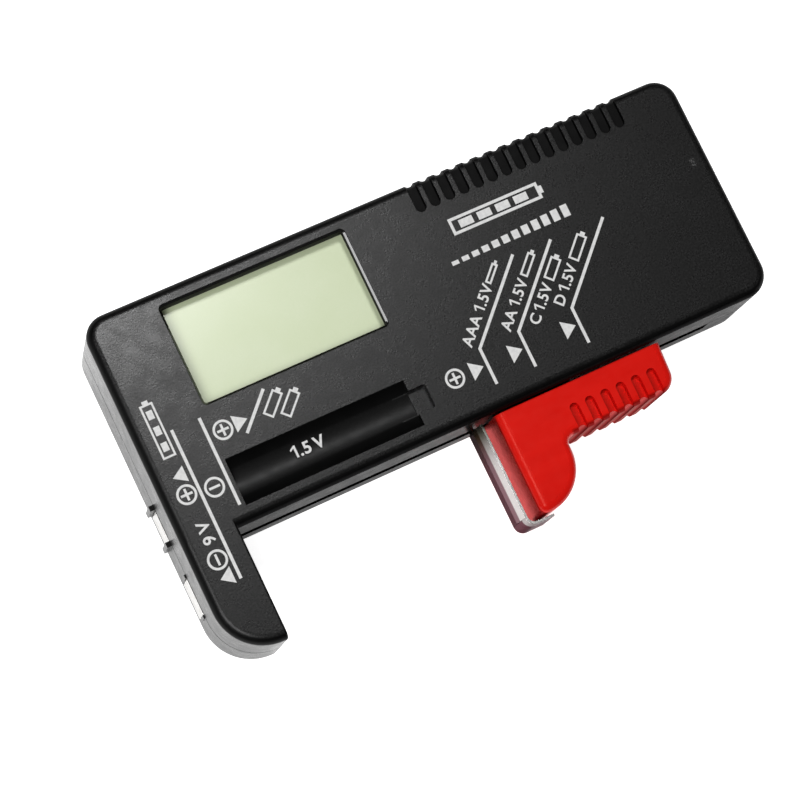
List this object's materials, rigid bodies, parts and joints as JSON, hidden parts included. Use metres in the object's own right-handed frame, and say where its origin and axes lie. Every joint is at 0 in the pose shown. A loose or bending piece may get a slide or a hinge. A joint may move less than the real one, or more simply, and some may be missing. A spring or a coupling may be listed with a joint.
{
  "type": "battery tester",
  "caption": "L-shaped pocket battery tester: black two-part case with a blank display, an arm with a fixed contact, side contacts and a red sliding contact.",
  "frame": {"origin": "the middle of the footprint to within 0.3 mm, on the back face that it rests on", "axes": "+X along the case away from the arm, +Y towards the display, +Z out of the front face"},
  "size_m": [0.1094, 0.0598, 0.021],
  "materials": {
    "case_plastic": "fine-textured black moulded plastic",
    "grip_plastic": "semi-gloss red moulded plastic",
    "nickel_strip": "bright nickel-plated spring strip",
    "rod_steel": "drawn steel rod",
    "screw_steel": "zinc-plated steel",
    "display_glass": "thin liquid-crystal cell",
    "display_face": "satin polarising film over a pale grey-green display",
    "reflector_film": "satin metallised film",
    "gasket_foam": "black foam",
    "elastomer": "pink silicone with black conducting layers",
    "board_laminate": "green solder mask on glass-epoxy board",
    "blob_epoxy": "black potting epoxy",
    "chip_ceramic": "ceramic chip with tinned ends",
    "capacitor_ceramic": "tan ceramic chip with tinned ends",
    "resistor_lacquer": "beige lacquered resistor with colour bands and tinned leads",
    "diode_body": "black moulded diode with tinned leads",
    "ferrite": "sintered ferrite",
    "copper_winding": "enamelled copper winding",
    "capacitor_can": "sleeved aluminium can",
    "wire_red": "PVC insulation",
    "wire_black": "PVC insulation",
    "wire_white": "PVC insulation",
    "wire_yellow": "PVC insulation",
    "carriage_plastic": "black acetal",
    "bronze_leaf": "phosphor bronze leaf",
    "rivet_brass": "turned brass"
  },
  "bodies": {
    "case": {"front_cover": "case_plastic", "back_cover": "case_plastic", "case_screws": "screw_steel", "board_screws": "screw_steel", "display_glass": "display_glass", "front_polariser": "display_face", "rear_reflector": "reflector_film", "display_gasket": "gasket_foam", "elastomer_connector": "elastomer", "circuit_board": "board_laminate", "controller_blob": "blob_epoxy", "chip_resistors": "chip_ceramic", "chip_capacitors": "capacitor_ceramic", "load_resistors": "resistor_lacquer", "rectifier_diode": "diode_body", "boost_inductor": "ferrite", "inductor_winding": "copper_winding", "filter_capacitor": "capacitor_can", "guide_rod": "rod_steel", "nine_volt_positive_contact": "nickel_strip", "nine_volt_negative_contact": "nickel_strip", "arm_contact": "nickel_strip", "rod_wire": "wire_yellow", "nine_volt_positive_wire": "wire_red", "nine_volt_negative_wire": "wire_black", "arm_wire": "wire_white"},
    "slider": {"slider_grip": "grip_plastic", "slider_carriage": "carriage_plastic", "slider_screw": "screw_steel", "slider_wiper": "bronze_leaf", "wiper_rivets": "rivet_brass"},
    "contact_leaf": {"slider_contact": "nickel_strip"}
  },
  "joints": [
    {"name": "slider_travel", "type": "slide", "parent": "case", "child": "slider", "axis": [1, 0, 0], "range_m": [-0.04, 0.021]},
    {"name": "leaf_flex", "type": "hinge", "parent": "slider", "child": "contact_leaf", "pos_m": [0.00015, -0.0072, 0.0083], "axis": [0, 0, 1], "range_deg": [0, 4], "stiffness_Nm_per_rad": 0.15, "springref_deg": -1.72}
  ]
}
